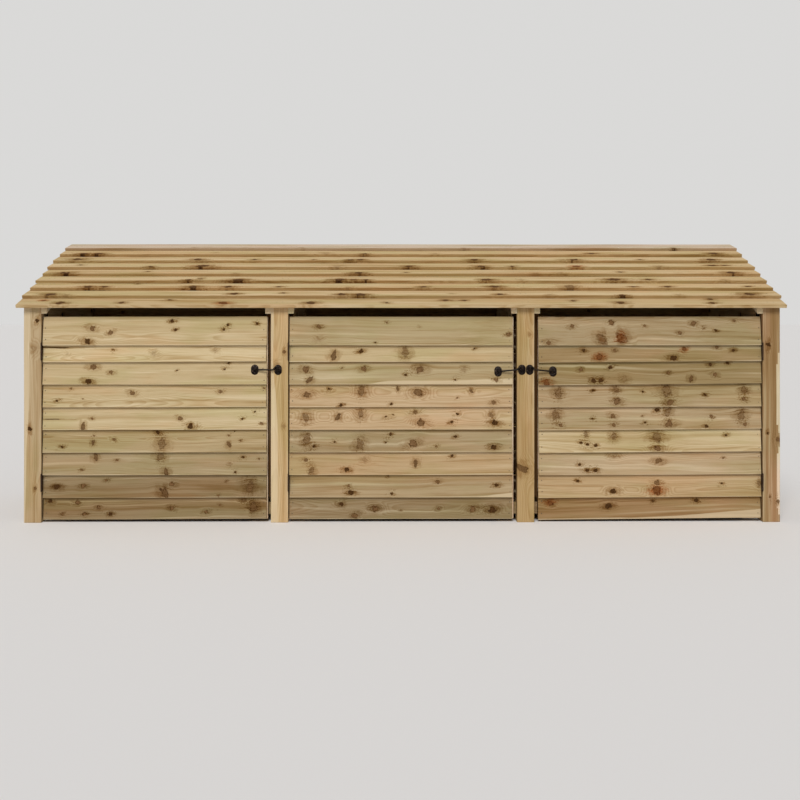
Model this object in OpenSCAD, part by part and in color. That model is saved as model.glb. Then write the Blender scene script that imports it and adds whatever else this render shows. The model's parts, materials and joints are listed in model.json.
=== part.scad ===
// Three-bay timber log store: lean-to roof of lapped boards, slatted sides and floor, three hinged doors
// with cabin hooks. Millimetres, +Z up, front faces -Y, origin on the ground under the roof's middle.

/* [Frame] */
// Clear width of each bay between its posts
bay_w = 1000; // [800:10:1200]
// Width of a post seen from the front
post_w = 75; // [70:1:100]
// Depth of a post, front to back
post_d = 75; // [70:1:100]
// Front face of the front posts to back face of the back posts
frame_depth = 825; // [760:5:900]
// Gap between a post's sloping top and the roof boards' plane
post_top_gap = 3; // [1:0.5:8]

/* [Roof] */
// Overall height at the back edge of the roof
height = 1260; // [1220:5:1320]
// Slope of the rafters, degrees
roof_pitch = 20; // [18:0.5:22]
// Roof boards past the outer faces of the end posts
side_overhang = 25; // [10:1:60]
// Roof boards past the front faces of the posts
front_overhang = 30; // [26:1:60]
// Roof boards past the back faces of the posts
back_overhang = 25; // [20:1:60]
// Width of a roof board
roof_board_w = 125; // [120:1:150]
// Thick lower edge of a roof board
roof_butt_t = 14; // [10:0.5:18]
// Thin upper edge of a roof board
roof_thin_t = 6; // [4:0.5:8]
// Slack between two lapped boards
lap_gap = 0.2; // [0.1:0.1:0.5]
// Width of a rafter
rafter_w = 25; // [20:1:40]
// Depth of a rafter, square to the slope
rafter_d = 32; // [28:1:38]

/* [Slats and floor] */
// Thickness of a side, partition or back slat
slat_t = 18; // [12:1:20]
// Width of a slat
slat_w = 95; // [70:1:120]
// Air gap between slats
slat_gap = 12; // [8:1:30]
// Height of the lowest back slat
back_slat_z = 32; // [10:1:80]
// Thickness of a floor slat
floor_slat_t = 22; // [16:1:32]
// Width of a floor bearer
bearer_w = 25; // [20:1:40]
// Height of a floor bearer
bearer_h = 50; // [40:1:70]
// Ground clearance under the bearers
bearer_z = 30; // [10:1:60]
// Width of the strip a door closes against
stop_w = 22; // [16:1:30]

/* [Doors] */
// Ground clearance under a door
door_bottom_z = 13; // [8:1:40]
// Gap from the top of a door to the front end of the rafters
head_gap = 13; // [6:1:20]
// Gap between a door and the post it hangs on
hinge_gap = 4; // [3.8:0.1:6]
// Gap between a door and the post it latches to
latch_gap = 12; // [6:0.5:15]
// How far the boards' highest edge lies behind the posts' front faces
face_recess = 1; // [0.5:0.5:4]
// Width of a door board
door_board_w = 125; // [115:1:150]
// Thick lower edge of a door board
door_butt_t = 12; // [9:0.5:15]
// Thin upper edge of a door board
door_thin_t = 5; // [3:0.5:7]
// Height that the lowest board shows
first_show = 95; // [85:1:105]
// Height that the board under the top one shows
second_show = 72; // [60:1:90]
// Width of a stile behind the boards
stile_w = 80; // [78:1:95]
// Thickness of the stiles and the brace
stile_t = 22; // [18:0.5:26]
// How far the latch stile shows past the ends of the boards
stile_reveal = 8; // [2:0.5:12]
// Width of the diagonal brace
brace_w = 70; // [50:1:90]
// Gap between a closed door's back and what it closes against
stop_gap = 0.5; // [0.3:0.1:2]

/* [Hinges] */
// Height of a hinge leaf
hinge_h = 75; // [60:1:100]
// Width of a hinge leaf
leaf_w = 38; // [32:1:42]
// Thickness of a hinge leaf
leaf_t = 1.6; // [1.2:0.1:1.7]
// Diameter of a hinge barrel
barrel_d = 7; // [6:0.1:8]
// Diameter of a hinge pin
pin_d = 3; // [2:0.1:3.6]
// Radial clearance of a hinge pin
pin_clear = 0.05; // [0.02:0.01:0.1]
// Door's bottom edge to the middle of its lower hinge
low_hinge_up = 161; // [120:1:240]
// Door's top edge to the middle of its upper hinge
high_hinge_down = 152; // [120:1:240]

/* [Cabin hooks] */
// Lower edge of the eighth board down to the middle of the left hook plate
hook_down = 34.8; // [30:0.1:60]
// How much lower the middle and right hook plates sit than their eyes
hook_drop = 8; // [0:0.5:9]
// Width of an oval plate
plate_w = 33; // [30:0.5:33.5]
// Height of an oval plate
plate_h = 45; // [42:0.5:46]
// Thickness of a plate
plate_t = 3; // [2:0.5:4]
// Diameter of a staple's wire
staple_d = 4; // [3:0.1:4.2]
// Middle radius of a staple's round end
staple_r = 6; // [5.8:0.1:7]
// Straight length of a staple's legs outside the plate
staple_leg = 6; // [5.5:0.5:7]
// Diameter of a hook arm
arm_d = 5; // [4:0.1:5.2]
// Diameter of the wire in a hook arm's ring
ring_d = 4; // [3:0.1:4.2]
// Clearance between a hook arm's ring and the staple leg in it
ring_clear = 0.5; // [0.3:0.05:0.6]
// Pivot of a hook arm to its tip
hook_reach = 97; // [90:0.5:110]
// Clearance between a hook's tip and the round end of its eye
tip_clear = 1.5; // [1:0.1:2]
// Bend radius of the swan neck at a hook arm's tip
neck_r = 7; // [6:0.5:9]
// Slope of the neck's rise, degrees
neck_slope = 50; // [40:1:60]
// Straight length of the neck's rise
neck_rise = 12; // [8:0.5:14]
// Tip of a hook below the middle of its eye
tip_drop = 8; // [5:0.5:12]
// Eye of the left door, off its post's centre towards the door
left_eye_off = 6; // [0:0.5:20]
// Eyes of the middle and right doors, off their shared post's centre
pair_eye_off = 17; // [17:0.5:20]

/* [Screws] */
// Shank diameter of a wood screw
screw_d = 3.5; // [3:0.1:4]
// Length of a wood screw
screw_l = 19; // [14:0.5:24]
// Head diameter of a wood screw
head_d = 7; // [6:0.1:7.5]
// Height of a round head
head_h = 2; // [1.5:0.1:3]
// Radial clearance of a screw in its hole
screw_clear = 0.15; // [0.1:0.05:0.4]
// Middle of a plate to its screws
plate_screw_off = 13.5; // [12.5:0.5:16]
// Barrel side of a hinge leaf to its screws
leaf_screw_in = 28; // [26:0.5:30]
// Middle of a hinge leaf to its outer screws
leaf_screw_off = 27; // [16:0.5:28]

/* [Hidden] */
$fn = 48;
bays = ["left", "middle", "right"];
post_count = 4;
roof_board_count = 9;
door_board_count = 9;
knuckle_count = 5;
knuckle_gap = 0.2;
barrel_gap = 0.3;
leaf_edge_gap = 0.1;
pin_head_in = 0.9;
pin_head_h = 1.5;
seat_gap = 2;
floor_end_gap = 1;
hook_board_index = 6;

// Plan of the frame
roof_depth = front_overhang + frame_depth + back_overhang;
front_y = front_overhang - roof_depth / 2;
back_y = front_y + frame_depth;
roof_w = post_count * post_w + (post_count - 1) * bay_w + 2 * side_overhang;
function post_x(i) = (i - (post_count - 1) / 2) * (bay_w + post_w);
function bay_left(b) = post_x(b) + post_w / 2;
function bay_right(b) = post_x(b + 1) - post_w / 2;

// The roof's plane, on top of the rafters, starts under the lowest board's front edge
roof_y = -roof_depth / 2 + roof_butt_t * sin(roof_pitch);
slope_l = (roof_depth / 2 - roof_y) / cos(roof_pitch);
eaves_z = height - slope_l * sin(roof_pitch) - roof_thin_t * cos(roof_pitch);
roof_show = (slope_l - roof_board_w) / (roof_board_count - 1);
rafter_drop = rafter_d / cos(roof_pitch);
function plane_z(y) = eaves_z + (y - roof_y) * tan(roof_pitch);
function under_rafter_z(y) = plane_z(y) - rafter_drop - seat_gap;

// A lapped board's lower edge lies on the board below it, and its upper edge on what carries it.
// This is how far the lower edge is lifted, from the lift of the board below and what that one shows.
function lap_lift(below, show, w, butt, thin) =
    lap_gap + max((below + butt) * (1 - show / w) + thin * show / w, thin * w / show);
function roof_lift(i) =
    i == 0 ? 0 : lap_lift(roof_lift(i - 1), roof_show, roof_board_w, roof_butt_t, roof_thin_t);

// Door courses, counted from the lowest board
door_top_z = plane_z(front_y) - rafter_drop - head_gap;
first_edge = door_bottom_z + first_show;
top_edge = door_top_z - door_board_w;
second_edge = top_edge - second_show;
door_show = (second_edge - first_edge) / (door_board_count - 3);
function door_edge(k) =
    k == 0 ? door_bottom_z
    : k == door_board_count - 1 ? top_edge
    : first_edge + (k - 1) * door_show;
function door_lift(k) =
    k == 0 ? 0
    : lap_lift(door_lift(k - 1), door_edge(k) - door_edge(k - 1),
               door_board_w, door_butt_t, door_thin_t);
door_boards_d = max([for (k = [0:door_board_count - 1]) door_lift(k) + door_butt_t]);
stile_y = front_y + face_recess + door_boards_d;
door_back_y = stile_y + stile_t;
inner_y = door_back_y + stop_gap;
stile_end = bay_w - latch_gap;
board_end = stile_end - stile_reveal;
door_h = door_top_z - door_bottom_z;

// Slats and floor
slat_pitch = slat_w + slat_gap;
floor_z = bearer_z + bearer_h;
side_slat_z = floor_z + floor_slat_t + seat_gap;
side_slat_count = floor((under_rafter_z(back_y) - side_slat_z - slat_w / 2) / slat_pitch) + 1;
back_slat_count = floor((plane_z(back_y) - seat_gap - back_slat_z + slat_gap) / slat_pitch);
floor_slat_count = floor((back_y - inner_y + slat_gap) / slat_pitch);

// Hinges, in a door's own frame: x from the face of the post that it hangs on
barrel_r = barrel_d / 2;
pin_r = pin_d / 2;
hinge_axis_x = hinge_gap / 2;
hinge_axis_y = front_y - barrel_r - barrel_gap;
knuckle_h = hinge_h / knuckle_count;
leaf_start = barrel_r + barrel_gap + leaf_edge_gap;
hinge_zs = [
    door_bottom_z + low_hinge_up - hinge_h / 2,
    door_top_z - high_hinge_down - hinge_h / 2
];
pin_head_r = barrel_r - pin_head_in;

// Hooks, in a door's own frame
hook_edge = door_edge(hook_board_index);
hook_face = door_lift(hook_board_index) + door_butt_t;
hook_tilt = atan((hook_face - door_thin_t) / door_board_w);
eye_z = door_edge(hook_board_index + 1) - hook_down;
function hook_plate_z(b) = eye_z - (b == 0 ? 0 : hook_drop);
function eye_x(b) = bay_w + post_w / 2 - (b == 0 ? left_eye_off : pair_eye_off);
function hook_plate_x(b) = eye_x(b) - hook_reach - staple_r;
function hook_plate_y(b) =
    stile_y - hook_face + (hook_plate_z(b) - hook_edge) * tan(hook_tilt);
ring_r = staple_d / 2 + ring_clear + ring_d / 2;
pivot_out = plate_t + staple_leg / 2;
eye_mid = plate_t + staple_leg + staple_r - staple_d / 2 - tip_clear - arm_d / 2;
neck_w = 2 * neck_r * sin(neck_slope) + neck_rise * cos(neck_slope) + neck_r;
tip_cone = 2;
knee_swell = 0.4;
tip_core_share = 0.8;

// Pivot of a hook arm, on the middle of its staple's leg, and the eye as seen from there
function pivot_y(b) = hook_plate_y(b) - pivot_out * cos(hook_tilt);
function pivot_z(b) = hook_plate_z(b) + pivot_out * sin(hook_tilt);
function tip_y(b) = front_y - eye_mid - pivot_y(b);
function tip_z(b) = eye_z - pivot_z(b);

// An outline in y and z, extruded along x
module along_x(x0, length) {
    translate([x0, 0, 0]) rotate([90, 0, 90]) linear_extrude(length) children();
}

// A door's own frame, mirrored for the right-hand door, which hangs on its right-hand post
module door_frame(b) {
    if (b == 2)
        translate([bay_right(b), 0, 0]) mirror([1, 0, 0]) children();
    else
        translate([bay_left(b), 0, 0]) children();
}

// Posts, with tops cut to the slope
module post(i, y0) {
    color("#c9b184")
        along_x(post_x(i) - post_w / 2, post_w)
            polygon([
                [y0, 0],
                [y0 + post_d, 0],
                [y0 + post_d, plane_z(y0 + post_d) - post_top_gap],
                [y0, plane_z(y0) - post_top_gap]
            ]);
}

module post_front(i) {
    post(i, front_y);
}

module post_back(i) {
    post(i, back_y - post_d);
}

// Rafters on the inner faces of the posts, with plumb-cut ends
module rafter(x0) {
    along_x(x0, rafter_w)
        polygon([
            [front_y, plane_z(front_y) - rafter_drop],
            [back_y, plane_z(back_y) - rafter_drop],
            [back_y, plane_z(back_y)],
            [front_y, plane_z(front_y)]
        ]);
}

module rafters() {
    color("#d8c391")
        for (b = [0:len(bays) - 1]) {
            rafter(bay_left(b));
            rafter(bay_right(b) - rafter_w);
        }
}

// Lapped roof boards, from the eaves up
module roof_board(i) {
    s = i * roof_show;
    color("#cdb47c")
        translate([-roof_w / 2, roof_y, eaves_z])
            rotate([roof_pitch, 0, 0])
                along_x(0, roof_w)
                    polygon([
                        [s, roof_lift(i)],
                        [s + roof_board_w, 0],
                        [s + roof_board_w, roof_thin_t],
                        [s, roof_lift(i) + roof_butt_t]
                    ]);
}

// Horizontal slats on the inner faces of a pair of posts, cut off under the rafter
module side_slats(x0) {
    color("#c4a873")
        for (k = [0:side_slat_count - 1])
            along_x(x0, slat_t)
                intersection() {
                    translate([inner_y, side_slat_z + k * slat_pitch])
                        square([back_y - inner_y, slat_w]);
                    polygon([
                        [inner_y, 0],
                        [back_y, 0],
                        [back_y, under_rafter_z(back_y)],
                        [inner_y, under_rafter_z(inner_y)]
                    ]);
                }
}

// Full-length slats across the backs of the back posts
module back_slats() {
    color("#c4a873")
        for (k = [0:back_slat_count - 1])
            translate([post_x(0) - post_w / 2, back_y, back_slat_z + k * slat_pitch])
                cube([roof_w - 2 * side_overhang, slat_t, slat_w]);
}

// Bearers between the front and back posts, under the ends of the floor slats
module floor_bearers() {
    color("#b99d68")
        for (b = [0:len(bays) - 1], x0 = [bay_left(b), bay_right(b) - bearer_w])
            translate([x0, inner_y, bearer_z])
                cube([bearer_w, back_y - inner_y, bearer_h]);
}

module floor_slats(b) {
    color("#bfa36e")
        for (k = [0:floor_slat_count - 1])
            translate([
                bay_left(b) + floor_end_gap,
                back_y - slat_w - k * slat_pitch,
                floor_z
            ])
                cube([bay_w - 2 * floor_end_gap, slat_w, floor_slat_t]);
}

// Strips on the latch posts of the outer doors, where no slats end
module door_stops() {
    stop_h = under_rafter_z(inner_y) - side_slat_z;
    color("#c4a873")
        for (x0 = [bay_right(0) - stop_w, bay_left(2)])
            translate([x0, inner_y, side_slat_z])
                cube([stop_w, front_y + post_d - inner_y, stop_h]);
}

// Nine lapped boards on the face of a door
module door_boards(b) {
    color("#d2bd8a")
        door_frame(b)
            for (k = [0:door_board_count - 1])
                translate([hinge_gap, stile_y, door_edge(k)])
                    rotate([0, -90, 180])
                        linear_extrude(board_end - hinge_gap)
                            polygon([
                                [0, door_lift(k)],
                                [door_board_w, 0],
                                [door_board_w, door_thin_t],
                                [0, door_lift(k) + door_butt_t]
                            ]);
}

module door_stiles(b) {
    color("#cdb582")
        door_frame(b)
            for (x0 = [hinge_gap, stile_end - stile_w])
                translate([x0, stile_y, door_bottom_z])
                    cube([stile_w, stile_t, door_h]);
}

// Brace from the foot of the hinge stile to the head of the latch stile
module door_brace(b) {
    x0 = hinge_gap + stile_w;
    clear_w = stile_end - stile_w - x0;
    reach = brace_w * sqrt(pow(clear_w, 2) + pow(door_h, 2)) / clear_w;
    color("#cdb582")
        door_frame(b)
            translate([x0, stile_y + stile_t, door_bottom_z])
                rotate([90, 0, 0])
                    linear_extrude(stile_t)
                        polygon([
                            [0, 0],
                            [clear_w, door_h - reach],
                            [clear_w, door_h],
                            [0, reach]
                        ]);
}

// Hinge leaf beside the post when side is -1, beside the door when side is 1
module hinge_leaf(side) {
    leaf_x = side < 0 ? -hinge_axis_x : hinge_axis_x - leaf_t;
    first_knuckle = side < 0 ? 0 : 1;
    difference() {
        union() {
            translate([leaf_x, leaf_start, 0]) cube([leaf_t, leaf_w, hinge_h]);
            for (i = [first_knuckle:2:knuckle_count - 1])
                translate([0, 0, i * knuckle_h + knuckle_gap / 2]) {
                    cylinder(r = barrel_r, h = knuckle_h - knuckle_gap);
                    translate([leaf_x, 0, 0])
                        cube([leaf_t, leaf_start + 1, knuckle_h - knuckle_gap]);
                }
        }
        translate([0, 0, -1]) cylinder(r = pin_r + pin_clear, h = hinge_h + 2);
        for (z = leaf_screw_zs())
            leaf_screw_place(side, z) {
                translate([0, 0, -leaf_t])
                    cylinder(
                        h = leaf_t,
                        d1 = screw_d + 2 * screw_clear,
                        d2 = head_d + 2 * screw_clear
                    );
                translate([0, 0, -leaf_t - 1])
                    cylinder(h = leaf_t + 2, d = screw_d + 2 * screw_clear);
            }
    }
}

function leaf_screw_zs() = [for (i = [-1:1]) hinge_h / 2 + i * leaf_screw_off];

// Puts a screw's head at the open face of a leaf, with the shank towards the wood
module leaf_screw_place(side, z) {
    translate([side * (hinge_axis_x - leaf_t), leaf_start + leaf_screw_in, z])
        rotate([0, -side * 90, 0]) children();
}

module hinge_place(b) {
    door_frame(b)
        for (z = hinge_zs)
            translate([hinge_axis_x, hinge_axis_y, z]) children();
}

module hinge_frame_leaves(b) {
    color("#3b3b3d") hinge_place(b) hinge_leaf(-1);
}

module hinge_door_leaves(b) {
    color("#3b3b3d") hinge_place(b) hinge_leaf(1);
}

module hinge_pins(b) {
    color("#4a4a4c")
        hinge_place(b) {
            cylinder(r = pin_r, h = hinge_h);
            for (z = [-pin_head_h, hinge_h])
                translate([0, 0, z]) cylinder(r = pin_head_r, h = pin_head_h);
        }
}

// A countersunk screw: flush head at z = 0, shank downwards
module flush_screw() {
    translate([0, 0, -leaf_t]) cylinder(h = leaf_t, d1 = screw_d, d2 = head_d);
    translate([0, 0, -screw_l]) cylinder(h = screw_l - leaf_t / 2, d = screw_d);
}

// A round-headed screw: head on z = 0, shank downwards
module round_screw() {
    cylinder(h = head_h, d1 = head_d, d2 = head_d / 2);
    translate([0, 0, -screw_l]) cylinder(h = screw_l + head_h / 2, d = screw_d);
}

// Oval plate with two screw holes and a staple: back on y = 0, staple towards -y, hole along z
module staple_plate() {
    difference() {
        rotate([90, 0, 0])
            linear_extrude(plate_t) {
                for (v = [-1, 1])
                    translate([0, v * (plate_h - plate_w) / 2]) circle(d = plate_w);
                square([plate_w, plate_h - plate_w], center = true);
            }
        for (v = [-1, 1])
            translate([0, 1, v * plate_screw_off])
                rotate([90, 0, 0])
                    cylinder(h = plate_t + 2, d = screw_d + 2 * screw_clear);
    }
    for (u = [-1, 1])
        translate([u * staple_r, -plate_t / 2, 0])
            rotate([90, 0, 0]) cylinder(h = plate_t / 2 + staple_leg, d = staple_d);
    translate([0, -plate_t - staple_leg, 0])
        rotate([0, 0, 180])
            rotate_extrude(angle = 180) translate([staple_r, 0]) circle(d = staple_d);
}

// The tilted face of the board under a hook plate
module hook_place(b) {
    door_frame(b)
        translate([hook_plate_x(b), hook_plate_y(b), hook_plate_z(b)])
            rotate([-hook_tilt, 0, 0]) children();
}

module eye_place(b) {
    door_frame(b) translate([eye_x(b), front_y, eye_z]) children();
}

module hook_plate(b) {
    color("#33302e") hook_place(b) staple_plate();
}

module eye_plate(b) {
    color("#33302e") eye_place(b) staple_plate();
}

module plate_screws() {
    for (v = [-1, 1])
        translate([0, -plate_t, v * plate_screw_off]) rotate([90, 0, 0]) round_screw();
}

module rod(from, to, d) {
    v = to - from;
    translate(from)
        rotate([0, acos(v[2] / norm(v)), atan2(v[1], v[0])]) cylinder(h = norm(v), d = d);
}

// Points round a bend of the swan neck, which stands upright, between two headings from its centre
function bend(centre, from, to, steps) = [
    for (i = [1:steps])
        let (a = from + (to - from) * i / steps)
            centre + neck_r * [cos(a), 0, sin(a)]
];

// Middle line of a hook arm from the end of its shank to its tip, from the pivot
function neck_path(b) =
    let (
        start = [hook_reach - neck_w, tip_y(b), tip_z(b)],
        rise = bend(start + [0, 0, neck_r], -90, neck_slope - 90, 2),
        rise_end = rise[1] + neck_rise * [cos(neck_slope), 0, sin(neck_slope)],
        top = rise_end + neck_r * [sin(neck_slope), 0, -cos(neck_slope)]
    )
    concat(
        [start], rise, [rise_end],
        bend(top, neck_slope + 90, 0, 4),
        [[hook_reach, tip_y(b), tip_z(b) - tip_drop + tip_cone]]
    );

// Ring on the staple's leg, shank out to the post, swan neck, and a tip that drops into the eye.
// A small ball inside the tip's cone carries it over onto the rod above.
module hook_arm(b) {
    path = neck_path(b);
    last = len(path) - 1;
    color("#33302e")
        door_frame(b)
            translate([hook_plate_x(b) + staple_r, pivot_y(b), pivot_z(b)]) {
                rotate([90, 0, 0])
                    rotate_extrude() translate([ring_r, 0]) circle(d = ring_d);
                rod([ring_r, 0, 0], path[0], arm_d);
                for (i = [1:last]) rod(path[i - 1], path[i], arm_d);
                for (i = [0:last - 1]) translate(path[i]) sphere(d = arm_d + knee_swell);
                translate(path[last]) sphere(d = tip_core_share * arm_d);
                translate(path[last] - [0, 0, tip_cone])
                    cylinder(h = tip_cone, d1 = arm_d / 2, d2 = arm_d);
            }
}

// Screws of the hinge leaves and eye plates, in the posts
module frame_screws() {
    color("#55524e")
        for (b = [0:len(bays) - 1]) {
            hinge_place(b)
                for (z = leaf_screw_zs()) leaf_screw_place(-1, z) flush_screw();
            eye_place(b) plate_screws();
        }
}

// Screws of a door's hinge leaves and hook plate
module door_screws(b) {
    color("#55524e") {
        hinge_place(b)
            for (z = leaf_screw_zs()) leaf_screw_place(1, z) flush_screw();
        hook_place(b) plate_screws();
    }
}

for (i = [0:post_count - 1]) {
    post_front(i);
    post_back(i);
}
side_slats(bay_left(0));  // side_slats_left
side_slats(bay_right(2) - slat_t);  // side_slats_right
side_slats(bay_left(1));  // partition_slats_left
side_slats(bay_right(1) - slat_t);  // partition_slats_right
back_slats();
rafters();
floor_bearers();
door_stops();
frame_screws();
for (i = [0:roof_board_count - 1])
    roof_board(i);
for (b = [0:len(bays) - 1]) {
    floor_slats(b);
    door_boards(b);
    door_stiles(b);
    door_brace(b);
    door_screws(b);
    hinge_frame_leaves(b);
    hinge_door_leaves(b);
    hinge_pins(b);
    hook_plate(b);
    hook_arm(b);
    eye_plate(b);
}
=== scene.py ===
import math
import random
import bmesh
import bpy
from mathutils import Matrix, Vector, noise
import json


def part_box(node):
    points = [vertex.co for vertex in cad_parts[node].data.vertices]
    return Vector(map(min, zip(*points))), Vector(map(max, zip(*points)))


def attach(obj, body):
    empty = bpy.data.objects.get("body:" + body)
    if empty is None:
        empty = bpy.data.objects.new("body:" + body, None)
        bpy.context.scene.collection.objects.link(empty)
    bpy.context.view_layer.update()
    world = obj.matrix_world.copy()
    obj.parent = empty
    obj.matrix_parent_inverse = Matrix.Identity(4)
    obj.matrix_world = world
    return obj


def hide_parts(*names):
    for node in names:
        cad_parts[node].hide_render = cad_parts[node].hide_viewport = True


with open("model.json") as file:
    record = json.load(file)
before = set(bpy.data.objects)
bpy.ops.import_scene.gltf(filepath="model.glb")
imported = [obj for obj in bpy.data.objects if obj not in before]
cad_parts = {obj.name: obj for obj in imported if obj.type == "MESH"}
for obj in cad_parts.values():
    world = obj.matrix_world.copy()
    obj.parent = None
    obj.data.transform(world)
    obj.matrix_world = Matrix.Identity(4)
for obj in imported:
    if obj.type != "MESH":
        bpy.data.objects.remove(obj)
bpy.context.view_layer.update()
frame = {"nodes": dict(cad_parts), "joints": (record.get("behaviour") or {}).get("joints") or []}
mm = 0.001
bays = ["left", "middle", "right"]


# Small helpers for node trees

def addNode(tree, kind, inputs=None, **settings):
    made = tree.nodes.new(kind)
    for name, value in settings.items():
        setattr(made, name, value)
    for socket, value in (inputs or {}).items():
        feed(tree, value, made.inputs[socket])
    return made


def feed(tree, value, socket):
    if isinstance(value, bpy.types.NodeSocket):
        tree.links.new(value, socket)
    else:
        socket.default_value = value


def calc(tree, operation, *values, clamp=False):
    made = tree.nodes.new("ShaderNodeMath")
    made.operation = operation
    made.use_clamp = clamp
    for i, value in enumerate(values):
        feed(tree, value, made.inputs[i])
    return made.outputs[0]


def ramp(tree, value, low, high):  # a smooth step from 0 to 1, also where low is above high
    return addNode(tree, "ShaderNodeMapRange", interpolation_type="SMOOTHSTEP", inputs={
        "Value": value, "From Min": low, "From Max": high}).outputs[0]


def vector(tree, x, y, z):
    return addNode(tree, "ShaderNodeCombineXYZ", {"X": x, "Y": y, "Z": z}).outputs[0]


def speckle(tree, at, scale, detail=2.0):  # noise between 0 and 1
    made = addNode(tree, "ShaderNodeTexNoise", {"Vector": at, "Scale": scale, "Detail": detail})
    return made.outputs["Fac"]


def mix(tree, a, b, factor, blend="MIX"):
    made = tree.nodes.new("ShaderNodeMix")
    made.data_type = "RGBA"
    made.blend_type = blend
    feed(tree, factor, made.inputs[0])
    feed(tree, a, made.inputs[6])
    feed(tree, b, made.inputs[7])
    return made.outputs[2]


def tint(tree, colour, by, factor):  # multiplies a colour, as far as the factor says
    return mix(tree, colour, (*by, 1), factor, "MULTIPLY")


def tune(tree, shader, figure, relief, distance):  # takes a group's colour, roughness and height
    tree.links.new(figure.outputs["Color"], shader.inputs["Base Color"])
    tree.links.new(figure.outputs["Roughness"], shader.inputs["Roughness"])
    bump = addNode(tree, "ShaderNodeBump", {
        "Strength": relief, "Distance": distance, "Height": figure.outputs["Height"]})
    tree.links.new(bump.outputs[0], shader.inputs["Normal"])


def newGroup(name, inputs):
    group = bpy.data.node_groups.new(name, "ShaderNodeTree")
    for socket, kind in inputs:
        group.interface.new_socket(socket, in_out="INPUT", socket_type="NodeSocket" + kind)
    for socket, kind in (("Color", "Color"), ("Roughness", "Float"), ("Height", "Float")):
        group.interface.new_socket(socket, in_out="OUTPUT", socket_type="NodeSocket" + kind)
    return group, addNode(group, "NodeGroupInput").outputs, addNode(group, "NodeGroupOutput").inputs


# The figure of sawn softwood. Grain is a point in metres from the tree's pith: along, across and through the
# board. Knot is the way to the nearest knot's middle in that knot's own radii, and then its radius in metres.
# Look says how dark, how red and how faint that knot is. Cell gives the distances in metres to the borders of
# that knot's cell. Heart is the heartwood's radius in metres, its strength, and the strength of the streaks.
# Cast is how far inside the sapwood a point is in mm, and then how stained and how red the wood is there.

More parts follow.
